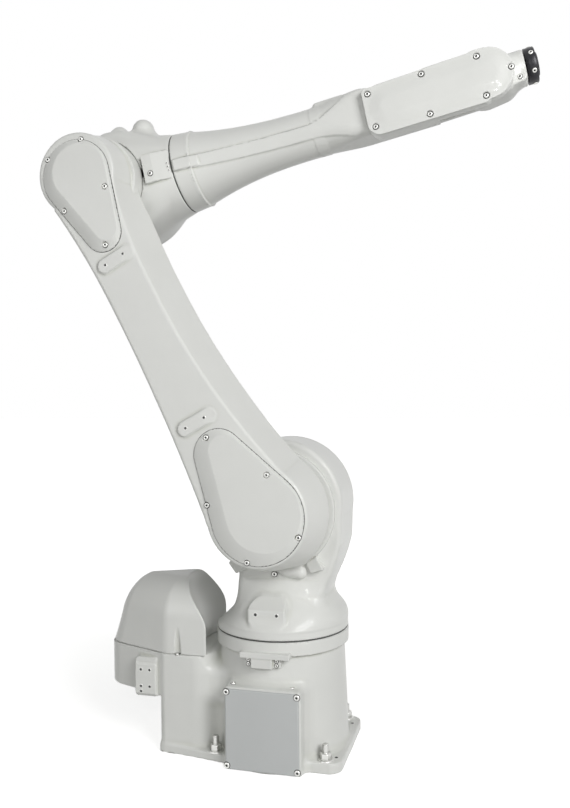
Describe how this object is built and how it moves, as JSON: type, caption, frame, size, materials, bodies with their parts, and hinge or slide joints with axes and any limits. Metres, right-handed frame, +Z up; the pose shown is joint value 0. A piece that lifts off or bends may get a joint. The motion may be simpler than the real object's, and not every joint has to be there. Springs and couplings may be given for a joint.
{
  "type": "industrial robot arm",
  "caption": "White articulated robot arm on a bolted base, with a leaning lower arm, a slim forearm, a forked wrist and a black tool flange.",
  "frame": {"origin": "on the turning axis at the floor", "axes": "+X ahead of the arm, +Z up"},
  "size_m": [0.9247, 0.311, 1.2976],
  "materials": {
    "white_paint": "gloss",
    "grey_panel": "satin",
    "black_steel": "satin"
  },
  "bodies": {
    "base": {"base_casting": "white_paint", "rear_cover": "white_paint", "connector_cover": "grey_panel", "turning_stop": "white_paint"},
    "turret": {"turret_bell": "white_paint", "shoulder_hub": "white_paint", "shoulder_flange": "white_paint", "shoulder_motor_cover": "white_paint", "shoulder_stops": "white_paint"},
    "lower_arm": {"arm_casting": "white_paint", "arm_lower_cover": "white_paint", "arm_upper_cover": "white_paint", "arm_lower_pad": "white_paint", "arm_upper_pad": "white_paint"},
    "elbow": {"elbow_housing": "white_paint", "elbow_motor_cover": "white_paint", "elbow_side_pad": "white_paint"},
    "forearm": {"forearm_collar": "white_paint", "forearm_tube": "white_paint", "forearm_head": "white_paint", "fork_arm_near": "white_paint", "belt_cover_near": "white_paint", "fork_arm_far": "white_paint", "belt_cover_far": "white_paint"},
    "wrist": {"wrist_body": "white_paint", "wrist_neck": "white_paint"},
    "flange": {"tool_flange": "black_steel"}
  },
  "joints": [
    {"name": "turn", "type": "hinge", "parent": "base", "child": "turret", "pos_m": [0, 0, 0.235], "axis": [0, 0, 1], "range_deg": [-90, 270]},
    {"name": "shoulder", "type": "hinge", "parent": "turret", "child": "lower_arm", "pos_m": [0, 0, 0.465], "axis": [0, 1, 0], "range_deg": [-76.6, 163.4]},
    {"name": "elbow", "type": "hinge", "parent": "lower_arm", "child": "elbow", "pos_m": [-0.34007, 0, 1.09395], "axis": [0, -1, 0], "range_deg": [-38.5, 251.5]},
    {"name": "roll", "type": "hinge", "parent": "elbow", "child": "forearm", "pos_m": [-0.19232, 0, 1.12509], "axis": [0.9785, 0, 0.2062], "range_deg": [-200, 200]},
    {"name": "bend", "type": "hinge", "parent": "forearm", "child": "wrist", "pos_m": [0.38892, 0, 1.24757], "axis": [0, 1, 0], "range_deg": [-125, 125]},
    {"name": "tool", "type": "hinge", "parent": "wrist", "child": "flange", "pos_m": [0.46133, 0, 1.26283], "axis": [0.9785, 0, 0.2062], "range_deg": [-360, 360]}
  ]
}
